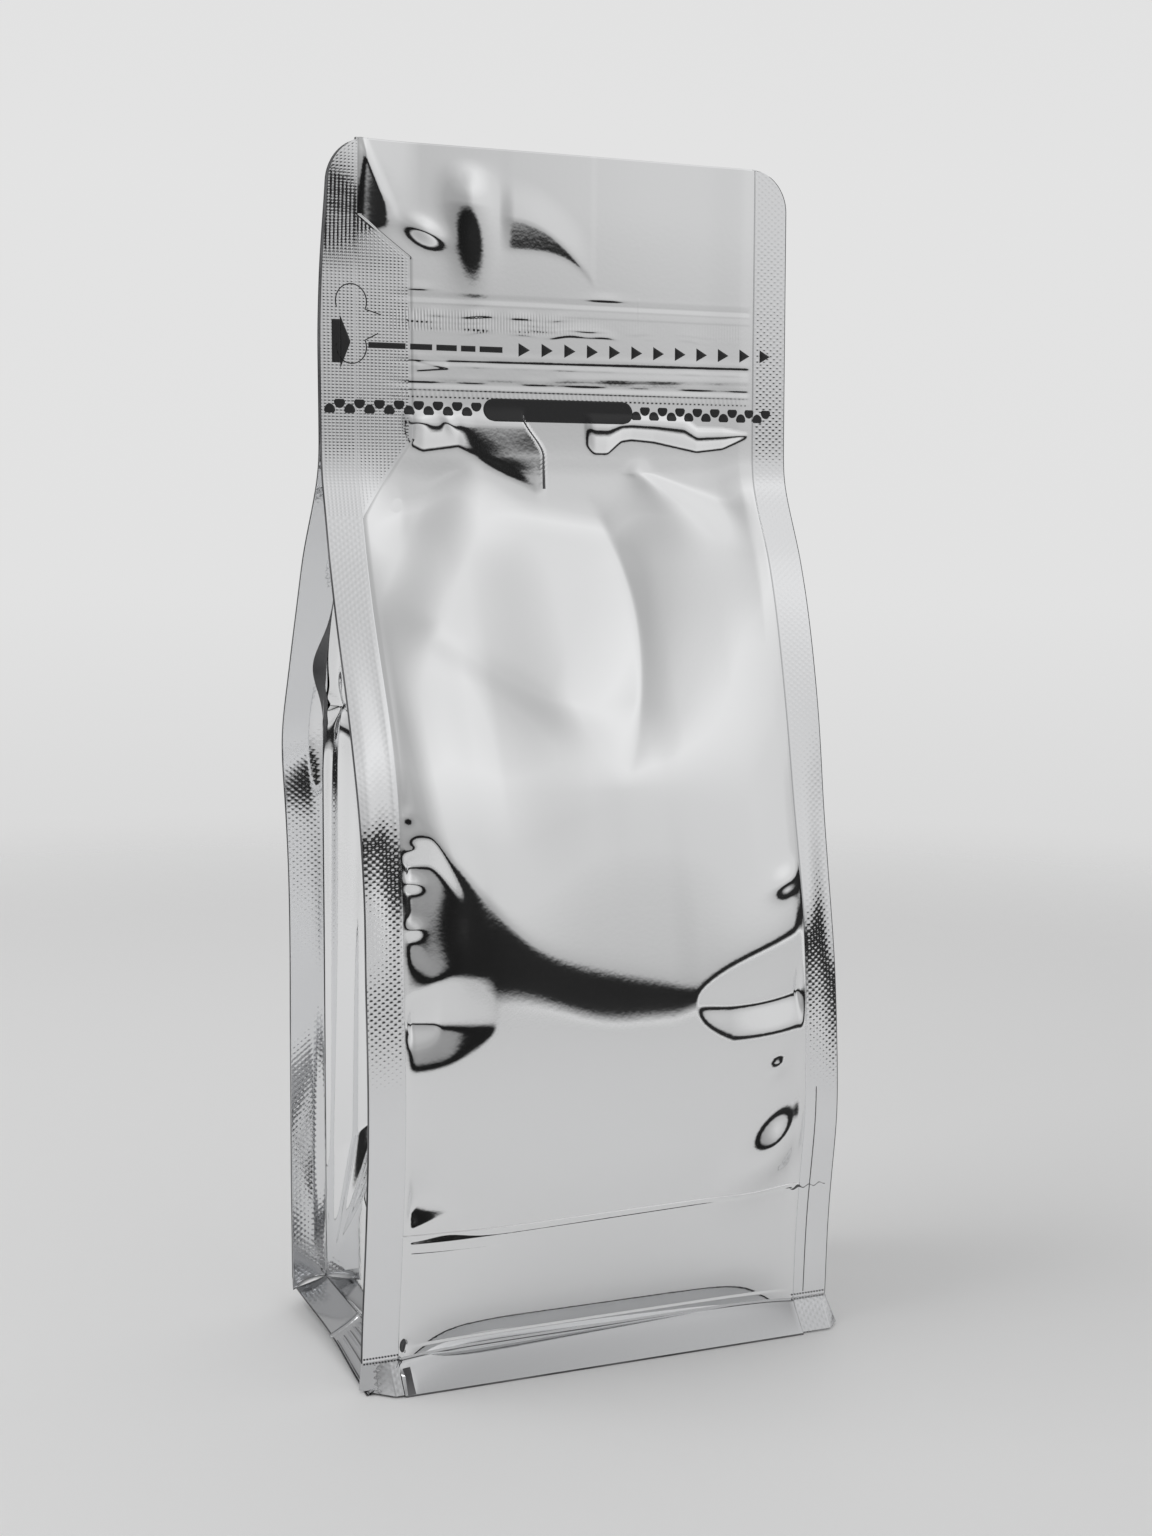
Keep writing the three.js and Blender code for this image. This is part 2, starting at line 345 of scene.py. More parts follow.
def rib(z, at, tall=0.4):
    """A thin step: a straight slope of one in one, given back over the next three millimetres."""
    return facet(z, at, at + tall, 0.06) - tall * smooth(z, at + tall, at + 3)


# Level ribs of the zipper's profile: strength, height, rise along the zipper, and how tall.
RIBS = (
    (1.0, 264.2, 0.008, 0.4),
    (0.8, 256.5, 0.0, 0.4),
    (0.5, 278.6, 0.0, 0.3),
    (-0.45, 262.9, 0.0, 1.1),
    (-0.45, 257.1, 0.0, 1.1),
    (-0.45, 279.0, 0.0, 1.1),
)
RIBS_RIGHT = ((0.5, 259.6, 0.01, 1.0), (0.6, 276.6, 0.0, 0.3), (0.4, 280.2, 0.0, 0.3))
RIB_HEIGHT = 0.07
TICK_HEIGHT = 0.08
TICK_PITCH = 0.85
SLIT_PITCH = 1.3


def ribs(x, z, rows):
    """The sum of thin level steps, each times its strength."""
    return sum(strong * rib(z, at + rise * x, tall) for strong, at, rise, tall in rows)


def zipper_ribs(x, z):
    """Thin level steps of the zipper's profile, some of which come and go along their length, a band
    of fine upright ticks with wavy slits at the tear line, and a pointed step at the left end."""
    some = np.clip(0.4 + 0.7 * np.sin(x / 6.3 + 2) * np.sin(x / 2.9 + 1) + 0.3 * np.sin(x / 11 + 2), 0, 1)
    other = np.clip(0.4 + 0.8 * np.sin(x / 8.1 + 0.5) * np.sin(x / 3.7), 0, 1)
    left = 1 - smooth(x, -12, 6)
    right = smooth(x, -6, 4)
    wave = 0.35 * np.sin(x / 4.1) + 0.2 * np.sin(x / 1.9 + 1)
    dots = 0.5 + 0.5 * np.sin(2 * np.pi * x / SLIT_PITCH)
    level = ribs(x, z, RIBS) + right * ribs(x, z, RIBS_RIGHT)
    broken = 1.1 * other * rib(z, 258.4) + dots * rib(z, 254.7) + 0.8 * some * rib(z, 262.6, 0.3)
    broken = broken + 1.2 * hump(x, -41, 4) * rib(z, 281.9, 0.5) + 1.2 * hump(x, 12, 5) * rib(z, 281.2, 0.5)
    slits = 1.2 * some * rib(z - wave, 271.2, 0.5) + 1.2 * other * rib(z - 0.6 * wave, 272.8)
    slits = slits * hump(x, 4, 30) + 1.9 * left * some * rib(z - 0.5 * wave, 275.4, 0.5)
    dotted = other * rib(z - 0.3 * wave, 273.8, 0.5) + some * rib(z, 272.2, 0.5)
    slits = slits + 1.6 * left * dots * dotted
    ticks = np.cos(2 * np.pi * x / TICK_PITCH) * smooth(z, 271.5, 273) * (1 - smooth(z, 275.5, 278))
    ticks = TICK_HEIGHT * ticks * (0.1 + 0.9 * left) * (0.4 + 0.6 * other)
    point = smooth(x, -42, -41) * (1 - smooth(x, -34, -32))
    pointed = point * (rib(z, 263.6 - 0.2 * (x + 41)) + rib(z, 261.3 + 0.09 * (x + 41)))
    ends = smooth(x, -52, -44) * (1 - smooth(x, 55, 57))
    return ends * (RIB_HEIGHT * (level + broken + slits + pointed) + ticks)


ZIPPER_END_LOW = 224.0
ZIPPER_END_HIGH = 300.0


def left_root(z):
    """Where the left seal ends: straight, with a wider part beside the zipper that has slanting ends."""
    return np.interp(z, [ZIPPER_END_LOW, 244, 290, ZIPPER_END_HIGH], [-ROOT, -43.0, -43.4, -ROOT])


def front_skin(x, z):
    """The outer face of the front: the seals' plane minus all that stands out, where the small forms
    fade to nothing at the seals."""
    fade = 2.5
    inside = smooth(x, -ROOT, -ROOT + fade) * (1 - smooth(x, ROOT - fade, ROOT))
    free = inside * (puckers(x, z) + blisters(x, z) + creases(x, z) + pocket(x, z))
    stands = cushion(x, z) + shoulder_fill(x, z) + fin_bends(x, z) + tension_ridges(x, z) + tucks(x, z)
    return front_plane(x, z) - stands - free - zipper_ribs(x, z)


def sheet_mesh(name, x, y, z, material, ring=False):
    """A mesh of one or more grids of points in millimetres: quads between neighbours, closed
    round when ring is set."""
    x, y, z = np.broadcast_arrays(x, y, z)
    points = np.stack([x, y, z], -1).reshape(-1, 3) * MM
    rows, columns = x.shape[-2:]
    index = np.arange(rows * columns).reshape(rows, columns)
    if ring:
        index = np.concatenate([index, index[:, :1]], 1)
    quads = np.stack([index[:-1, :-1], index[:-1, 1:], index[1:, 1:], index[1:, :-1]], -1).reshape(-1, 4)
    copies = np.arange(len(points) // (rows * columns)) * rows * columns
    quads = (copies[:, None, None] + quads).reshape(-1, 4)
    mesh = bpy.data.meshes.new(name)
    mesh.vertices.add(len(points))
    mesh.vertices.foreach_set("co", points.ravel())
    mesh.loops.add(quads.size)
    mesh.loops.foreach_set("vertex_index", quads.ravel())
    mesh.polygons.add(len(quads))
    mesh.polygons.foreach_set("loop_start", np.arange(0, quads.size, 4))
    mesh.update(calc_edges=True)
    mesh.polygons.foreach_set("use_smooth", np.ones(len(quads), bool))
    mesh.validate()
    mesh.materials.append(material)
    piece = bpy.data.objects.new(name, mesh)
    bpy.context.scene.collection.objects.link(piece)
    return piece


def fit(piece):
    """Fixes a piece to the pouch's body in place of the plain solid."""
    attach(piece, "root")
    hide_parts("pouch")


def set_inputs(node, values):
    """Gives a node's inputs their values by name."""
    for title, value in values.items():
        node.inputs[title].default_value = value


def film_grain_group():
    """A node group: fine noise over the film puts out an uneven roughness and a slightly pebbled normal."""
    group = bpy.data.node_groups.new("film_grain", "ShaderNodeTree")
    face = group.interface
    for title, value in (("Scale", 900.0), ("Low", 0.06), ("High", 0.12), ("Bump", 0.03)):
        socket = face.new_socket(title, in_out="INPUT", socket_type="NodeSocketFloat")
        socket.default_value = value
    face.new_socket("Roughness", in_out="OUTPUT", socket_type="NodeSocketFloat")
    face.new_socket("Normal", in_out="OUTPUT", socket_type="NodeSocketVector")
    nodes, links = group.nodes, group.links
    given = nodes.new("NodeGroupInput")
    result = nodes.new("NodeGroupOutput")
    place = nodes.new("ShaderNodeTexCoord")
    patch = nodes.new("ShaderNodeTexNoise")
    set_inputs(patch, {"Scale": 60.0, "Detail": 3.0})
    grain = nodes.new("ShaderNodeTexNoise")
    set_inputs(grain, {"Detail": 1.0})
    spread = nodes.new("ShaderNodeMapRange")
    bump = nodes.new("ShaderNodeBump")
    set_inputs(bump, {"Distance": 0.0002})
    links.new(place.outputs["Object"], patch.inputs["Vector"])
    links.new(place.outputs["Object"], grain.inputs["Vector"])
    links.new(given.outputs["Scale"], grain.inputs["Scale"])
    links.new(patch.outputs["Fac"], spread.inputs["Value"])
    links.new(given.outputs["Low"], spread.inputs["To Min"])
    links.new(given.outputs["High"], spread.inputs["To Max"])
    links.new(grain.outputs["Fac"], bump.inputs["Height"])
    links.new(given.outputs["Bump"], bump.inputs["Strength"])
    links.new(spread.outputs["Result"], result.inputs["Roughness"])
    links.new(bump.outputs["Normal"], result.inputs["Normal"])
    return group


FILM_GRAIN = film_grain_group()


def new_material(name):
    """A new material, with its nodes, their links and its shader."""
    material = bpy.data.materials.new(name)
    material.use_nodes = True
    nodes = material.node_tree.nodes
    return material, nodes, material.node_tree.links, nodes["Principled BSDF"]


def film_material(name, colour, low, high, bump):
    """Metallised film: a metal shader whose roughness and normal come from the film grain."""
    material, nodes, links, shader = new_material(name)
    set_inputs(shader, {"Base Color": (*colour, 1), "Metallic": 1.0})
    grain = nodes.new("ShaderNodeGroup")
    grain.node_tree = FILM_GRAIN
    set_inputs(grain, {"Low": low, "High": high, "Bump": bump})
    links.new(grain.outputs["Roughness"], shader.inputs["Roughness"])
    links.new(grain.outputs["Normal"], shader.inputs["Normal"])
    return material


FILM = film_material("mirror_film", (0.88, 0.884, 0.89), low=0.03, high=0.07, bump=0.025)

# Rows of the panel below the zipper: from, to and step, finer at the creases, the bend and the tucks.
PANEL_ROWS = (
    (SEAM, 11.6, 0.1),
    (11.6, 21, 0.6),
    (21, 37, 1.5),
    (37, 42.2, 0.08),
    (42.2, 50, 0.4),
    (50, 80, 1.2),
    (80, 162, 0.55),
    (162, 228, 1.2),
    (228, 253.5, 0.4),
)
ZIPPER_ROWS = (253.2, 283.2, 0.2)
TOP_FROM = 283.0


def tuck_in(border):
    """How far a panel's border dips under a seal: a step over the distance from the seal's edge."""
    return FILM_TUCK * (1 - smooth(border, -TUCK_UNDER, TUCK_REACH))


def front_piece(name, z, columns, turned=0.0):
    """Part of the front film between the seals: its borders are tucked under them, and its top can
    be turned in."""
    z = z[:, None]
    root = left_root(z)
    x = root - TUCK_UNDER + (ROOT + 2 * TUCK_UNDER - root) * np.linspace(0, 1, columns)[None, :]
    y = front_skin(x, z) + tuck_in(np.minimum(x - root, ROOT - x))
    z = z + 0 * x
    if turned:
        x = np.concatenate([x, x[-1:]])
        y = np.concatenate([y, y[-1:] + turned])
        z = np.concatenate([z, z[-1:]])
    fit(sheet_mesh(name, x, y, z, FILM))


front_piece("front_panel", np.concatenate([np.arange(*rows) for rows in PANEL_ROWS]), columns=200)
front_piece("front_zipper", np.arange(*ZIPPER_ROWS), columns=420)
front_piece("front_top", np.linspace(TOP_FROM, TOP, 90), columns=260, turned=TOP_TURN)

# The back panel is a second sheet of the same film, with no print. The fill pushes it out to a plain
# cushion, and above the shoulder it lies against the front, with the folded gussets between the two.
FLAT_STACK = 1.6


def back_plane(x, z):
    """The plane of the back seals: the greater of the shoulder and the flat top's back, with a
    rounded corner."""
    soft = 2.0
    shoulder = lean(z) + half_depth(z)
    top = flat_plane(x, z) + FLAT_STACK
    return soft * np.logaddexp(shoulder / soft, top / soft)


def back_cushion(x, z):
    """A plain arch across and along, from the bottom seam to the flat top."""
    across = np.maximum(0, 1 - (x / ROOT) ** 2)
    return 6.0 * across * smooth(z, SEAM, 60) * (1 - smooth(z, 180, 242))


z = np.linspace(SEAM, TOP, 250)[:, None]
x = np.linspace(ROOT + TUCK_UNDER, -ROOT - TUCK_UNDER, 100)[None, :]
y = back_plane(x, z) + back_cushion(x, z) - tuck_in(ROOT - np.abs(x))
y = np.concatenate([y, back_plane(x, z[-1:]) - TOP_TURN])
z = np.concatenate([z, z[-1:]])
fit(sheet_mesh("back_panel", x, y, z, FILM))

# The four side seals are strips where a panel is welded to a gusset between heated bars. The bars
# press rows of small dots into them: staggered, but in a square grid at the end of the zipper.
# Each strip stands out as a fin, and its foot runs down onto the bottom flange's corner.
SEAL_THICKNESS = 0.35
TOP_RADIUS = 11.0
FLANGE_HALF = 66.5
FLANGE_FRONT = -37.4
FLANGE_SKEW = 0.031
FLANGE_BACK = 40.5
FLANGE_CUT = 6.5
RIGHT_CORNER = 70.2
RIGHT_CUT = 4.0
CORNER_LIFT = 5.0
DOT_PITCH_X = 1.05
DOT_PITCH_Z = 0.81
DOT_HEIGHT = 0.03
STRIP_FOOT = 0.6
STRIP_STEP = 0.25
FINE_STEP = 0.16
SQUARE_DOTS = 2.1
FOOT_DOTS = 2.5
# Slopes of the back left seal, given as for the front ones.
BACK_FIN = (
    (0.045, 12, 36, 4),
    (-0.01, 45, 65, 4),
    (-0.025, 65, 82, 4),
    (-0.04, 82, 101, 4),
    (0.0102, 120, 150, 4),
)


def square_dots(x, z):
    """Higher dots in a square grid: the product of two cosines where both are above 0."""
    across = np.maximum(0, np.cos(2 * np.pi * x / DOT_PITCH_X))
    return SQUARE_DOTS * across * np.maximum(0, np.cos(2 * np.pi * z / DOT_PITCH_Z))


def staggered_dots(x, z):
    """Dots in staggered rows: the product of two cosines where it is above 0."""
    wave = np.cos(np.pi * x / DOT_PITCH_X) * np.cos(np.pi * z / DOT_PITCH_Z)
    return np.maximum(0, wave)


def left_dots(x, z):
    """The front left seal's dots: staggered below the zipper and square beside it."""
    return np.where(z > ZIPPER_END_LOW, square_dots(x, z), staggered_dots(x, z))


def flange_bend(z):
    """How far the film has left the panel's plane for the flange's edge: 0 at the seam, 1 on the floor."""
    return np.clip((SEAM - z) / SEAM, 0, 1) ** 1.25


def flange_line(x, back):
    """The flange's edge in Y at an X: straight with its corners cut off, the front one askew."""
    if back:
        return FLANGE_BACK - np.maximum(0, np.abs(x) - FLANGE_HALF + FLANGE_CUT)
    cut = np.where(x > 0, RIGHT_CORNER - RIGHT_CUT, FLANGE_HALF - FLANGE_CUT)
    return FLANGE_FRONT - FLANGE_SKEW * x + np.maximum(0, np.abs(x) - cut)


def corner_lift(x):
    """How high the back edge of the flange stands off the floor: it curls up to the left corner."""
    return CORNER_LIFT * smooth(-x, 20, FLANGE_HALF)


def edge_reach(z, side, back):
    """The seal's outer edge in X: straight, round at the top corner, the left one bowed and drawn in
    at the top, the front right one spread at its foot."""
    rise = np.maximum(0, z - (TOP - TOP_RADIUS))
    reach = HALF_WIDTH - TOP_RADIUS + np.sqrt(np.maximum(0, TOP_RADIUS**2 - rise**2))
    if side < 0:
        reach = reach - 2.0 * smooth(z, 265, TOP) + 1.2 * hump(z, 160, 25)
    elif not back:
        reach = reach + (RIGHT_CORNER - HALF_WIDTH) * flange_bend(z)
    return side * reach


def seal_face(x, z, back):
    """The outer face of a seal without its dots: the seals' plane, bent out to the flange's edge below
    the seam, and wavy at the back left."""
    bend = flange_bend(z)
    if back:
        wavy = 2.2 * hump(z, 163, 13) + 1.1 * hump(z, 214, 10) + slopes(z, BACK_FIN)
        plane = back_plane(x, z) + wavy * smooth(-x, ROOT - 1, ROOT + 4)
    else:
        plane = front_skin(x, z)
    return plane * (1 - bend) + flange_line(x, back) * bend


# The weld's film on the flange and the seals' feet: its rougher grain is the weld's own finish, but its
# darker tone is painted shade on these up-facing parts.
WELD_AND_SHADE = film_material("weld_film_and_shade", (0.60, 0.605, 0.615), low=0.08, high=0.16, bump=0.05)
SEAL_FILM = film_material("seal_film", (0.86, 0.865, 0.875), low=0.05, high=0.09, bump=0.05)


def seal_strip(name, side, back, dots):
    """A closed strip carried up the pouch: an outer and an inner face, with dots pressed into the
    outer one, and at the back into both."""
    out = 1 if back else -1
    low = np.arange(STRIP_FOOT, ZIPPER_END_LOW, STRIP_STEP)
    fine = np.arange(ZIPPER_END_LOW, ZIPPER_END_HIGH, STRIP_STEP if back else FINE_STEP)
    high = np.arange(ZIPPER_END_HIGH, TOP, STRIP_STEP)
    z = np.concatenate([low, fine, high])[:, None]
    edge = edge_reach(z, side, back)
    root = side * np.minimum(ROOT, side * edge - 0.05)
    height = np.where(z < SEAM, FOOT_DOTS, 1) * DOT_HEIGHT

    def face(columns):
        """A grid of places from root to edge, and the height of the dots there, which end before both."""
        share = np.linspace(0, 1, columns)[None, :]
        x = root + (edge - root) * share
        return x, height * dots(x, z) * smooth(share, 0, 0.1) * (1 - smooth(share, 0.93, 1))

    outer_columns, inner_columns = (34, 34) if back else (48, 12)
    x, pressed = face(outer_columns)
    inner, pressed_in = face(inner_columns)
    y = seal_face(x, z, back) + out * pressed
    inner_y = seal_face(inner, z, back) - out * SEAL_THICKNESS + (out * pressed_in if back else 0)
    y = np.concatenate([y, inner_y[:, ::-1]], 1)
    x = np.concatenate([x, inner[:, ::-1]], 1)
    z = z + 0 * x
    if back:
        z = z + corner_lift(x) * flange_bend(z)
    if side * out < 0:
        x, y, z = x[:, ::-1], y[:, ::-1], z[:, ::-1]
    x, y, z = x[::-1], y[::-1], z[::-1]
    foot = int((SEAM - STRIP_FOOT) / STRIP_STEP) + 1
    fit(sheet_mesh(name, x[:-foot], y[:-foot], z[:-foot], SEAL_FILM, ring=True))
    # The foot is in the weld's film, whose darker tone is painted shade.
    fit(sheet_mesh(name + "_foot", x[-foot - 1 :], y[-foot - 1 :], z[-foot - 1 :], WELD_AND_SHADE, ring=True))


seal_strip("seal_front_left", -1, False, left_dots)
seal_strip("seal_front_right", 1, False, staggered_dots)
seal_strip("seal_back_left", -1, True, staggered_dots)
seal_strip("seal_back_right", 1, True, staggered_dots)

# The cut edges of the seals show the dull grey core of the laminate. Each is a narrow lip round the
# strip's rim, from its outer face over the cut to its inner face; on the two faces the lip is painted
# shade, a dark outline along the rim.
LIP = 0.32
THIN_LIP = 0.5 * LIP
LIP_LIFT = 0.03
LIP_END = TOP - 1.5


def core_and_shade_material():
    """The laminate's core: dull grey plastic, a little uneven in tone along the cut. The same grey
    is laid on as painted shade in creases, dents, seams and along the flange's grooved stripes.
    """
    material, nodes, links, shader = new_material("film_core_and_shade")
    set_inputs(shader, {"Roughness": 0.5})
    place = nodes.new("ShaderNodeTexCoord")
    patch = nodes.new("ShaderNodeTexNoise")
    set_inputs(patch, {"Scale": 45.0})
    tone = nodes.new("ShaderNodeValToRGB")
    dark, pale = tone.color_ramp.elements
    dark.position = 0.35
    dark.color = (0.05, 0.05, 0.053, 1)
    pale.position = 0.65
    pale.color = (0.20, 0.20, 0.205, 1)
    links.new(place.outputs["Object"], patch.inputs["Vector"])
    links.new(patch.outputs["Fac"], tone.inputs["Fac"])
    links.new(tone.outputs["Color"], shader.inputs["Base Color"])
    return material


CORE_AND_SHADE = core_and_shade_material()


def cut_edge_and_shade(name, side, back, lip):
    """Four lines carried up the strip's rim: on its outer face, at the two corners of the cut, and on
    its inner face. Between the corners it is the cut's core; over the faces it is painted shade."""
    out = 1 if back else -1
    z = np.linspace(SEAM, LIP_END, 420)[:, None]
    inset = side * np.array([[lip, -LIP_LIFT, -LIP_LIFT, lip]])
    x = edge_reach(z, side, back) - inset
    depth = np.array([[-LIP_LIFT, -LIP_LIFT, SEAL_THICKNESS + LIP_LIFT, SEAL_THICKNESS + LIP_LIFT]])
    y = seal_face(x, z, back) - out * depth
    if side * out < 0:
        x, y = x[:, ::-1], y[:, ::-1]
    fit(sheet_mesh(name, x[::-1], y[::-1], z[::-1] + 0 * x, CORE_AND_SHADE))


cut_edge_and_shade("edge_front_left", -1, False, LIP)
cut_edge_and_shade("edge_front_right", 1, False, THIN_LIP)
cut_edge_and_shade("edge_back_left", -1, True, THIN_LIP)
cut_edge_and_shade("edge_back_right", 1, True, THIN_LIP)

# Painted shade: dark patches laid on the film for the shade of small pressed marks, edges and folds:
# two rows of short dashes where each front seal bends onto the flange, a bar's upright edge and the
# old fold's end at the right, the edge of the left roll under the zipper, and a dent at the left
# seal's foot. They are thin patches in the core's dull grey.
MARK_LIFT = 0.11
DASH_COUNT = 12
DASH_HALF_WIDTH = 0.26
DASH_HALF_HEIGHT = 0.2
DASH_ROWS = np.array([SEAM + 0.9, SEAM - 0.4])
DASH_SPANS = (
    ("dashes_left", -HALF_WIDTH + 0.8, -ROOT - 0.3),
    ("dashes_right", ROOT - 0.5, HALF_WIDTH - 0.8),
)
BAR_EDGE_HALF = 0.09
ROLL_EDGE_HALF = 0.36
DENT_AT = (FOOT_DENT_X, 11.6)
DENT_REACH = (0.9, 1.9)


def shade_marks(name, x, z):
    """Thin patches of painted shade on the outer face of the front film or a front seal, from grids of
    places.
    """
    x, z = np.broadcast_arrays(x, z)
    fit(sheet_mesh(name, x, seal_face(x, z, False) - MARK_LIFT, z, CORE_AND_SHADE))


ends = np.array([-1.0, 1.0])
for name, low, high in DASH_SPANS:
    at, row = np.meshgrid(np.linspace(low, high, DASH_COUNT), DASH_ROWS)
    x = at.ravel()[:, None, None] + DASH_HALF_WIDTH * ends
    z = row.ravel()[:, None, None] + DASH_HALF_HEIGHT * ends[:, None]
    shade_marks(name, x, z)
z = np.linspace(SEAM + 1.5, 70, 60)[:, None]
shade_marks("bar_edge_right", 60.4 + 0.004 * z + BAR_EDGE_HALF * ends, z)
x = np.linspace(54.6, 65.5, 70)[None, :]
middle = 41.0 + 0.35 * np.sin(1.9 * x) + 0.05 * (x - 55)
half = 0.06 + 0.3 * hump(x, 56.6, 1.3)
shade_marks("fold_end_right", x, middle + half * ends[:, None])
z = np.linspace(231.5, 250.0, 70)[:, None]
shade_marks("roll_edge_left", left_roll_end(z) + ROLL_EDGE_HALF * np.linspace(-1, 1, 7)[None, :], z)
turn = np.linspace(2 * np.pi, 0, 33)[None, :]
out = np.linspace(0.05, 1, 6)[:, None]
dent_x = DENT_AT[0] + DENT_REACH[0] * out * np.cos(turn)
dent_z = DENT_AT[1] + DENT_REACH[1] * out * np.sin(turn)
shade_marks("corner_dent_left", dent_x, dent_z)

# The wider part of the left seal, beside the zipper, where the pouch is torn open. It is the same
# weld with the same square dots, so it carries on the strip's grid inwards.
END_OVERLAP = 0.2
END_LIFT = 0.02

z = np.arange(ZIPPER_END_LOW - 0.5, ZIPPER_END_HIGH + 0.5, FINE_STEP)[:, None]
share = np.linspace(0, 1, 76)[None, :]
x = -ROOT - END_OVERLAP + (left_root(z) + ROOT + 2 * END_OVERLAP) * share
raised = DOT_HEIGHT * square_dots(x, z) * (1 - smooth(x - left_root(z), -1.2, -0.2))
y = front_skin(x, z) - END_LIFT - raised
fit(sheet_mesh("seal_zipper_end", x, y, z + 0 * x, SEAL_FILM))

# The two side gussets are sheets folded in half: each runs from the front seal in to a crease and
# back out to the back seal. The fold closes towards the top, where it is pinched to a star beside
# the back seal, and spreads flat below a slanting crease at the foot.
GUSSET_TOP = 240.0
SPREAD_HEIGHT = 66.0
FOLD_OPENING = 34.0
FLUTE_HEIGHT = 0.36
PINCH_AT = 172.0
ROOT_LINE_FROM = 70.0
ROOT_LINE_TO = 212.0
ROOT_LINE_LIFT = 0.12
SPINDLE_AT = 183.0
SPINDLE_WIDTH = 3.8


def gusset_crease(z):
    """How far the crease lies behind the seals: nearly straight, and deeper where the pouch closes."""
    return 14 + 0.02 * z + 0.33 * ramp(z - PINCH_AT - 4, 5)


def gusset_pinch(across, up):
    """A star: a round dent with five rays, by the distance and direction from its middle."""
    far = np.hypot(across, up)
    rays = np.cos(5 * np.arctan2(up, across))
    return 2.2 * np.exp(-far / 5) + 0.9 * rays * (far / 6) * np.exp(-((far / 8) ** 2))


def gusset(name, side):
    """A sheet from the front seal to the back seal: a rounded V in plan, fluted along its back half."""
    z = np.linspace(SEAM - 1, GUSSET_TOP, 330)[:, None]
    share = np.linspace(0, 1, 161)[None, :]
    front = front_skin(side * ROOT, z) + SEAL_THICKNESS
    back = np.maximum(back_plane(side * ROOT, z) - SEAL_THICKNESS, front + 0.2)
    y = front + (back - front) * share
    fold = np.maximum(0, 1 - np.abs(2 * share - 1) ** 1.5)
    above = ramp(z - SEAM - SPREAD_HEIGHT * np.minimum(share, 1 - share), 0.7)
    opened = np.minimum(1, above / FOLD_OPENING)
    flutes = np.sin(54 * share + 0.012 * z) + 0.6 * np.sin(31 * share + 2 - 0.02 * z)
    fluted = smooth(share, 0.5, 0.6) * (1 - smooth(share, 0.97, 1)) * smooth(above, 0, 16)
    flutes = FLUTE_HEIGHT * flutes * fluted
    star = gusset_pinch(y - back + 2.5, z - PINCH_AT)
    x = side * (ROOT - gusset_crease(z) * fold * opened + flutes - star)
    if side < 0:
        x, y = x[:, ::-1], y[:, ::-1]
    fit(sheet_mesh(name, x, y, z + 0 * x, FILM))


gusset("gusset_left", -1)
gusset("gusset_right", 1)


def root_shade_line(name, side):
    """A ribbon of painted shade, in the core's grey, along the back seal's inner edge, where the film
    turns away: it widens up to the star and crosses to a spindle on the seal above it."""
    z = np.linspace(ROOT_LINE_FROM, ROOT_LINE_TO, 150)[:, None]
    wide = 0.15 + 0.75 * smooth(z, ROOT_LINE_FROM, PINCH_AT)
    middle = ROOT + 0.1
    inner = middle - wide * (1 - smooth(z, PINCH_AT, PINCH_AT + 6))
    outer = middle + SPINDLE_WIDTH * hump(z, SPINDLE_AT, 9)
    x = side * (outer + (inner - outer) * np.linspace(0, 1, 8)[None, :])
    y = seal_face(x, z, True) - SEAL_THICKNESS - ROOT_LINE_LIFT
    if side > 0:
        x, y = x[:, ::-1], y[:, ::-1]
    fit(sheet_mesh(name, x, y, z + 0 * x, CORE_AND_SHADE))


root_shade_line("root_back_left", -1)
root_shade_line("root_back_right", 1)

# The bottom flange is the weld between the panels, the gussets and the bottom film. It spreads out
# all round like a skirt below a ledge. Its sides are pressed into grooved stripes towards the front,
# its front has a fold at the left end, and its cut edge, which stands on the floor, shows the core.
# Painted in the core's grey: dark reflections along the stripes, shade on the fold, shade in the
# crease under the ledge, and a contact shadow along the foot together with the cut edge's core.
FLANGE_THICKNESS = 0.7
FLANGE_FOOT = 0.3
SIDE_FROM = -31.0
SIDE_TO = 34.0
STRIPES = 5
STRIPE_HEIGHT = 0.3
RIDGE_AT = 3.0
RIDGE_HEIGHT = 1.1
LEDGE = 0.8
LEDGE_OUT = 0.13
SKIRT = np.linspace(0, 1, 30)[:, None]
LEDGE_STEPS = np.array([0.0, 0.1, 0.9])[:, None]
GROOVE_SHADE_ROWS = np.array([[4, 5], [10, 11], [15, 16], [21, 22], [27, 28]])
UP = np.array([0, 0, 1])
FOOT_LIP = np.array([0.25, 0.05, -0.2])[:, None]
LEDGE_SHADE_LIP = np.array([0.1, 0.0, -0.12])[:, None]
CORE_SHARE = 0.1
BULGE_HEIGHT = 2.5
FOLD_SHADE_PATCH = (slice(1, 5), slice(7, 29))
FOLD_LIFT = 0.08


def fit_points(name, points, material, ring=False):
    """A piece of film from a grid of points."""
    fit(sheet_mesh(name, *np.moveaxis(points, -1, 0), material, ring))


def line(x, y, z):
    """A row of points from three coordinates."""
    return np.stack(np.broadcast_arrays(x, y, z), -1)


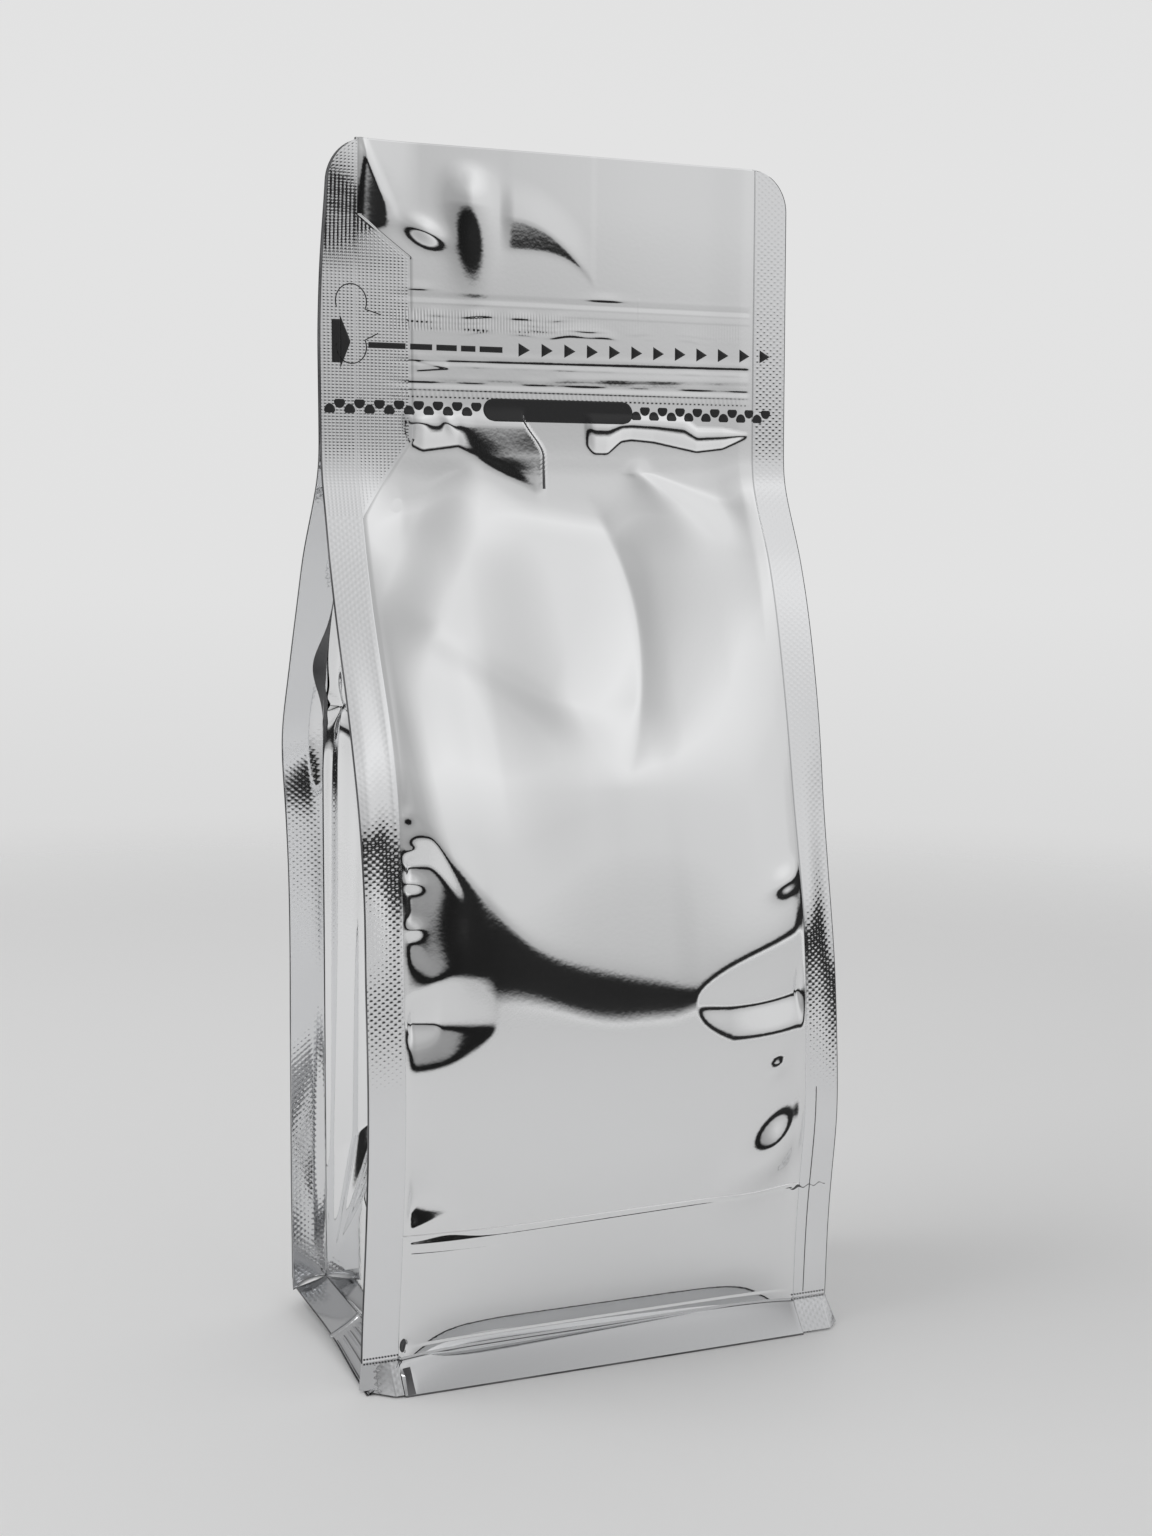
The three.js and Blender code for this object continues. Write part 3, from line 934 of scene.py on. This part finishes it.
def skirt_strip(name, top, foot, inwards, reverse, relief=0.0):
    """A closed strip: the outer face falls from a top line over a small ledge to a foot line, with
    some relief, and the inner face lies behind it. Lips in the core's grey run along the foot, where
    they are the cut edge's core and a painted contact shadow, and along the ledge, as painted shade."""
    ledge = top - inwards / FLANGE_THICKNESS * LEDGE_OUT - LEDGE * UP
    top, ledge, foot = top[:, None], ledge[:, None], foot[:, None]
    level = ledge[..., :2] + (foot - ledge)[..., :2] * SKIRT**1.25
    height = ledge[..., 2:] + (foot - ledge)[..., 2:] * SKIRT
    skirt = np.concatenate([level, height], -1) - relief * inwards
    outer = np.concatenate([top + (ledge - top) * LEDGE_STEPS, skirt], 1)
    points = np.concatenate([outer, outer[:, ::-1] + inwards], 1)
    lip = foot - CORE_SHARE * inwards + UP * FOOT_LIP
    seam = ledge - CORE_SHARE * inwards + UP * LEDGE_SHADE_LIP
    if reverse:
        points, lip, seam = points[:, ::-1], lip[:, ::-1], seam[:, ::-1]
    # The strip is in the weld's film, whose darker tone is painted shade.
    fit_points(name, points, WELD_AND_SHADE, ring=True)
    fit_points(name + "_edge", lip, CORE_AND_SHADE)
    fit_points(name + "_seam", seam, CORE_AND_SHADE)
    return skirt


x = np.linspace(-ROOT, ROOT, 160)
front_top = line(x, front_skin(x, SEAM + 0 * x), SEAM)
front_foot = line(x, flange_line(x, False), FLANGE_FOOT)
bulge = BULGE_HEIGHT * smooth(SKIRT, 0.25, 0.45) * (1 - SKIRT) / 0.55
bulge = bulge * hump(x, FOOT_DENT_X, 1.1)[:, None, None]
skirt = skirt_strip("flange_front", front_top, front_foot, np.array([0, FLANGE_THICKNESS, 0]), False, bulge)
# A patch of painted shade, in the core's grey, on the fold at the flange's left end.
fit_points("flange_fold_shade", skirt[FOLD_SHADE_PATCH] - np.array([0, FOLD_LIFT, 0]), CORE_AND_SHADE)
back_top = line(x, back_plane(x, SEAM + 0 * x), SEAM)
back_foot = line(x, flange_line(x, True), FLANGE_FOOT + corner_lift(x))
skirt_strip("flange_back", back_top, back_foot, np.array([0, -FLANGE_THICKNESS, 0]), True)
for name, side in (("flange_left", -1), ("flange_right", 1)):
    y = np.linspace(SIDE_FROM, SIDE_TO, 130)
    spread_out = (RIGHT_CORNER - FLANGE_HALF) * (1 - smooth(y, -36, -15)) * (side > 0)
    lift = CORNER_LIFT * np.clip((y + 30) / 64, 0, 1) * (side < 0)
    drawn_in = 1.2 * hump(y, 5, 22) * (side < 0)
    stripes = STRIPE_HEIGHT * np.sin(2 * np.pi * STRIPES * SKIRT) * smooth(SKIRT, 0, 0.15)
    ridge = RIDGE_HEIGHT * hump(y, RIDGE_AT, 0.8)
    relief = stripes * (1 - smooth(y, -RIDGE_AT, RIDGE_AT))[:, None, None] + ridge[:, None, None]
    side_top = line(side * ROOT, y, SEAM)
    side_foot = line(side * (FLANGE_HALF + spread_out - drawn_in), y, FLANGE_FOOT + lift)
    inwards = np.array([-side * FLANGE_THICKNESS, 0, 0])
    skirt = skirt_strip(name, side_top, side_foot, inwards, side < 0, relief)
    # Strips of painted dark reflection, in the core's grey, along the grooved stripes.
    groove_shades = np.moveaxis(skirt[y < 0][:, GROOVE_SHADE_ROWS], 0, 1) - CORE_SHARE * inwards
    if side < 0:
        groove_shades = groove_shades[:, :, ::-1]
    fit_points(name + "_grooves", groove_shades, CORE_AND_SHADE)

# The bottom film closes the pouch below. It lies on the floor in the middle and rises to a groove
# behind the flange, where it is welded to the panels.
turn = np.linspace(0, 2 * np.pi, 161)[:-1][None, :]
out = np.linspace(0, 1, 40)[:, None]
corner = (np.abs(np.cos(turn)) ** 8 + np.abs(np.sin(turn)) ** 8) ** (-1 / 8)
x = out * corner * np.cos(turn) * (ROOT - 0.2)
y = CENTRE_Y + out * corner * np.sin(turn) * (DEPTH / 2 - 0.5)
z = FLANGE_FOOT + (SEAM - 1.0) * smooth(out, 0.72, 0.98)
fit(sheet_mesh("bottom_film", x, y, z + 0 * x, FILM, ring=True))

# The print is black ink on the film: arrows along the tear line, a row of beads and a bar along the
# zipper, and a block arrow at the pull tab, whose cut line is painted shade in the same black. It is
# laid on as thin patches that follow the film.
INK_LIFT = 0.08
INK_RIM = -0.05


def ink_and_shade_material():
    """Dull black ink with an even finish, also laid on as painted shade along the pull tab's cut."""
    material, _, _, shader = new_material("black_ink_and_shade")
    set_inputs(shader, {"Base Color": (0.012, 0.012, 0.013, 1), "Roughness": 0.34})
    return material


INK_AND_SHADE = ink_and_shade_material()


def ink_and_shade_patches(name, x, z):
    """Patches of ink, and of painted shade in its black, from grids of places: each lies just above
    the film, with its rim turned down into it."""
    rim = ((0, 0), (1, 1), (1, 1))
    x, z = np.pad(x, rim, "edge"), np.pad(z, rim, "edge")
    lift = np.pad(np.full((x.shape[1] - 2, x.shape[2] - 2), INK_LIFT), 1, constant_values=INK_RIM)
    fit(sheet_mesh(name, x, front_skin(x, z) - lift, z, INK_AND_SHADE))


def placed(patch, x, z, flip=1.0):
    """Copies of a patch at a place or a row of places, upside down where flip is -1."""
    x, z, flip = (np.atleast_1d(value)[:, None, None] for value in (x, z, flip))
    patch_x, patch_z = patch
    return x + flip * patch_x, z + flip * patch_z


ARROWS = 12
ARROW_FIRST = (-13.0, 267.8)
ARROW_LAST = (59.5, 268.5)
ARROW_WIDTH = 3.2
ARROW_HEIGHT = 3.5
TEAR_LINE = 267.6
TEAR_BAR_HEIGHT = 1.5
BEAD_LINE = 252.0
BEAD_RUNS = ((-65, -23.5), (21.5, 62))
BEAD_PITCH = 2.67
BEAD_HALF = 1.5
BEAD_HEIGHT = 2.3
BEAD_SHIFT = 0.6
BAR_LENGTH = 43.4
BAR_HEIGHT = 6.0
BAR_AT = -1.3
STEM_SIZE = (2.4, 10.9)
HEAD_SIZE = (2.8, 13.5)
CUT_WIDTH = 0.28


def spread(up, left, right, columns):
    """A grid of places across: from the left ends to the right ends at each height."""
    across = np.linspace(0, 1, columns)[None, :]
    return left + (right - left) * across, up + 0 * across


def pointer(width, height, steps):
    """A triangle that points right, about the middle of its upright side."""
    up = np.linspace(-0.5, 0.5, steps[1])[:, None]
    return spread(height * up, 0 * up, width * (1 - np.abs(2 * up)), steps[0])


def block(width, height, steps):
    """A rectangle about its centre."""
    up = np.linspace(-0.5, 0.5, steps[1])[:, None]
    return spread(height * up, -width / 2 + 0 * up, width / 2 + 0 * up, steps[0])


def bead():
    """Half a rounded disc on a flat side: the half width falls with a power of the height."""
    up = np.linspace(0, 1, 14)[:, None]
    half = BEAD_HALF * np.maximum(0, 1 - (0.99 * up) ** 2.6) ** 0.5
    half = half * (1 - 0.3 * np.maximum(0, 1 - up / 0.3) ** 2)
    return spread(BEAD_HEIGHT * (up - 0.5), -half, half, 7)


def round_bar(length, height, steps):
    """A bar with round ends, about its centre."""
    up = np.linspace(-0.5, 0.5, steps[1])[:, None]
    half = length / 2 - height / 2 * (1 - np.sqrt(np.maximum(0, 1 - (2 * up) ** 2)))
    return spread(height * up, -half, half, steps[0])


arrow_x, arrow_z = np.linspace(ARROW_FIRST, ARROW_LAST, ARROWS).T
ink_and_shade_patches("tear_arrows", *placed(pointer(ARROW_WIDTH, ARROW_HEIGHT, (4, 9)), arrow_x, arrow_z))

# Five plain bars before the arrows: the middle and the width of each.
TEAR_BARS = ((-49.5, 10.0), (-40.2, 6.0), (-33.2, 5.6), (-27.2, 4.0), (-20.8, 6.4))
for count, (at, wide) in enumerate(TEAR_BARS):
    ink_and_shade_patches(f"tear_bar_{count + 1}", *placed(block(wide, TEAR_BAR_HEIGHT, (24, 6)), at, TEAR_LINE))

bead_x = np.concatenate([np.arange(*run, BEAD_PITCH) for run in BEAD_RUNS])
bead_flip = np.where(np.arange(len(bead_x)) % 2 == 0, 1.0, -1.0)
ink_and_shade_patches("bead_row", *placed(bead(), bead_x, BEAD_LINE - BEAD_SHIFT * bead_flip, bead_flip))
ink_and_shade_patches("close_bar", *placed(round_bar(BAR_LENGTH, BAR_HEIGHT, (90, 17)), BAR_AT, BEAD_LINE))

ink_and_shade_patches("pull_arrow_stem", *placed(block(*STEM_SIZE, (6, 24)), -63.0, 268.35))
ink_and_shade_patches("pull_arrow_head", *placed(pointer(*HEAD_SIZE, (6, 24)), -62.0, 268.25))


def tab_cut_shade(name, centre, radius, directions, slit):
    """A thin line of painted shade in the ink's black, along an arc that runs on into a straight slit:
    two rows of places, half its width to each side of the path."""
    turn = np.radians(np.linspace(*directions, 40))
    share = np.linspace(0, 1, 12)[1:]
    x = centre[0] + radius[0] * np.cos(turn)
    z = centre[1] + radius[1] * np.sin(turn)
    x = np.append(x, x[-1] + slit[0] * share)
    z = np.append(z, z[-1] + slit[1] * share)
    run_x, run_z = np.gradient(x), np.gradient(z)
    far = np.hypot(run_x, run_z)
    side = np.array([-0.5, 0.5])[:, None] * CUT_WIDTH
    ink_and_shade_patches(name, (x - side * run_z / far)[None], (z + side * run_x / far)[None])


# The cut of the pull tab, drawn as painted shade: an arc over the arrow and one under it, each
# running into a slit.
tab_cut_shade("pull_cut_high", (-59.0, 278.4), (4.1, 4.4), directions=(200, -25), slit=(4.2, -1.2))
tab_cut_shade("pull_cut_low", (-59.0, 267.0), (4.0, 4.2), directions=(-190, 25), slit=(3.5, 1.8))

# The studio: a pale floor that fades out, a bright dome of light, and a dark strip at eye level
# that the film mirrors as dark shapes. The camera stands where the photograph was taken from.
FLOOR_RADIUS = 1.5
FADE_FROM = 0.5
FADE_TO = 0.95


def floor_material():
    """Pale matt board, which fades to clear between two distances from the pouch."""
    material, nodes, links, shader = new_material("pale_floor")
    set_inputs(shader, {"Base Color": (0.86, 0.86, 0.86, 1), "Roughness": 0.6, "Specular IOR Level": 0.2})
    place = nodes.new("ShaderNodeTexCoord")
    far = nodes.new("ShaderNodeVectorMath")
    far.operation = "LENGTH"
    fade = nodes.new("ShaderNodeMapRange")
    fade.interpolation_type = "SMOOTHSTEP"
    set_inputs(fade, {"From Min": FADE_FROM, "From Max": FADE_TO})
    clear = nodes.new("ShaderNodeBsdfTransparent")
    mix = nodes.new("ShaderNodeMixShader")
    links.new(place.outputs["Object"], far.inputs[0])
    links.new(far.outputs["Value"], fade.inputs["Value"])
    links.new(fade.outputs["Result"], mix.inputs["Fac"])
    links.new(shader.outputs["BSDF"], mix.inputs[1])
    links.new(clear.outputs["BSDF"], mix.inputs[2])
    links.new(mix.outputs["Shader"], nodes["Material Output"].inputs["Surface"])
    return material


turn = np.linspace(0, 2 * np.pi, 97)[:-1][None, :]
out = np.linspace(0, FLOOR_RADIUS / MM, 12)[:, None]
floor_x = out * np.cos(turn)
floor_y = out * np.sin(turn)
floor = sheet_mesh("floor", floor_x, floor_y, 0 * floor_x, floor_material(), ring=True)

# Tones of the light and of the wall by elevation in degrees, and of the sides by direction along X.
LIGHT_TONES = (
    (-90, 0.52),
    (-25, 0.57),
    (-12, 0.66),
    (-7.5, 0.72),
    (-4.0, 0.022),
    (0.4, 0.016),
    (2.0, 0.46),
    (5, 0.53),
    (9, 0.63),
    (16, 0.65),
    (30, 0.80),
    (42, 0.73),
    (55, 0.74),
    (70, 0.64),
    (90, 0.58),
)
WALL_TONES = ((-25, 0.67), (-10, 0.69), (-3, 0.76), (8, 0.77), (25, 0.74))
SIDE_TONES = (
    (-1.0, 1.06),
    (-0.9, 0.98),
    (-0.65, 0.74),
    (-0.25, 0.62),
    (0.0, 0.66),
    (0.2, 0.80),
    (0.45, 1.07),
    (0.7, 1.12),
)


def studio_world():
    """Light by direction: pale below, a dark strip round the horizon and a bright dome, all brighter
    to both sides. The camera itself sees a plain wall."""
    world = bpy.data.worlds.new("studio")
    world.use_nodes = True
    nodes, links = world.node_tree.nodes, world.node_tree.links
    place = nodes.new("ShaderNodeTexCoord")
    parts = nodes.new("ShaderNodeSeparateXYZ")
    links.new(place.outputs["Generated"], parts.inputs["Vector"])

    def tones_along(axis, tones):
        """A ramp of tones against one axis of the direction, from pairs of place, from -1 to 1, and tone."""
        share = nodes.new("ShaderNodeMapRange")
        set_inputs(share, {"From Min": -1.0})
        links.new(parts.outputs[axis], share.inputs["Value"])
        node = nodes.new("ShaderNodeValToRGB")
        stops = node.color_ramp.elements
        for number, (place_at, tone) in enumerate(tones):
            at = (1 + place_at) / 2
            stop = stops[number] if number < 2 else stops.new(at)
            stop.position = at
            stop.color = (tone, tone, tone, 1)
        links.new(share.outputs["Result"], node.inputs["Fac"])
        return node

    def by_height(tones):
        """The same pairs with each elevation in degrees made a height."""
        return [(np.sin(np.radians(elevation)), tone) for elevation, tone in tones]

    light = nodes["Background"]
    links.new(tones_along("Z", by_height(LIGHT_TONES)).outputs["Color"], light.inputs["Color"])
    links.new(tones_along("X", SIDE_TONES).outputs["Color"], light.inputs["Strength"])
    wall = nodes.new("ShaderNodeBackground")
    links.new(tones_along("Z", by_height(WALL_TONES)).outputs["Color"], wall.inputs["Color"])
    path = nodes.new("ShaderNodeLightPath")
    mix = nodes.new("ShaderNodeMixShader")
    links.new(path.outputs["Is Camera Ray"], mix.inputs["Fac"])
    links.new(light.outputs["Background"], mix.inputs[1])
    links.new(wall.outputs["Background"], mix.inputs[2])
    links.new(mix.outputs["Shader"], nodes["World Output"].inputs["Surface"])
    return world


bpy.context.scene.world = studio_world()
bpy.context.scene.view_settings.view_transform = "Standard"

KEY_AT = (-0.7, 0.1, 1.0)
KEY_TILT = np.radians(-35)
key = bpy.data.lights.new("soft_key", "AREA")
key.energy = 3.4
key.size = 0.7
key_lamp = bpy.data.objects.new("soft_key", key)
key_lamp.matrix_world = Matrix.Translation(KEY_AT) @ Matrix.Rotation(KEY_TILT, 4, "Y")
bpy.context.scene.collection.objects.link(key_lamp)

CAMERA_AT = np.array([-224.67, -517.97, 232.32])
CAMERA_YAW = np.radians(23.822)
CAMERA_PITCH = np.radians(7.695)
CAMERA_ROLL = np.radians(-0.628)
flat = np.cos(CAMERA_PITCH)
forward = np.array([np.sin(CAMERA_YAW) * flat, np.cos(CAMERA_YAW) * flat, -np.sin(CAMERA_PITCH)])
level = np.array([np.cos(CAMERA_YAW), -np.sin(CAMERA_YAW), 0.0])
down = np.cross(forward, level)
right = np.cos(CAMERA_ROLL) * level + np.sin(CAMERA_ROLL) * down
under = np.cos(CAMERA_ROLL) * down - np.sin(CAMERA_ROLL) * level
lens = bpy.data.cameras.new("camera")
lens.sensor_fit = "VERTICAL"
lens.sensor_height = 36.0
lens.lens = 48.907
camera = bpy.data.objects.new("camera", lens)
turned = np.eye(4)
turned[:3, 0], turned[:3, 1], turned[:3, 2] = right, -under, -forward
turned[:3, 3] = CAMERA_AT * MM
camera.matrix_world = Matrix(turned.tolist())
bpy.context.scene.collection.objects.link(camera)
bpy.context.scene.camera = camera
